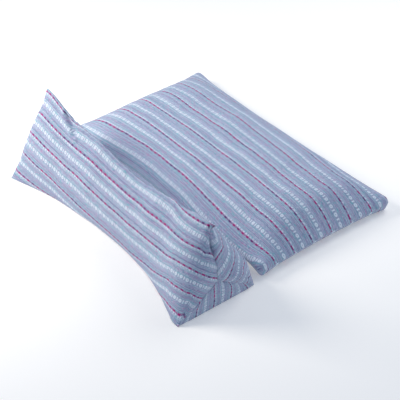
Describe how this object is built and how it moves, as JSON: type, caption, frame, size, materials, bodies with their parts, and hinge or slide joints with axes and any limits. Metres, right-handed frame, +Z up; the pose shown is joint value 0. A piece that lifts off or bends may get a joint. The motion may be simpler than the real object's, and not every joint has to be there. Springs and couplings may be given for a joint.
{
  "type": "buckwheat pillow with neck bolster",
  "caption": "Hull-filled pillow in two striped cotton parts: a flat head cushion and a three-sided neck bolster laid along its long edge.",
  "frame": {"origin": "middle of the outline of both parts together, on the surface that they lie on", "axes": "+X along the length of both parts, towards the end nearer the camera in the picture; +Y from the bolster across the flat cushion; +Z up"},
  "size_m": [0.5068, 0.448, 0.148],
  "materials": {
    "striped_cotton_flat": "matte, light steel-blue ground with fine pinstripes, dashed magenta stripes and white woven motif stripes",
    "striped_cotton_bolster": "matte, light steel-blue ground with fine pinstripes, dashed magenta stripes and white woven motif stripes"
  },
  "bodies": {
    "root": {"flat_cushion": "striped_cotton_flat", "neck_bolster": "striped_cotton_bolster"}
  },
  "joints": []
}
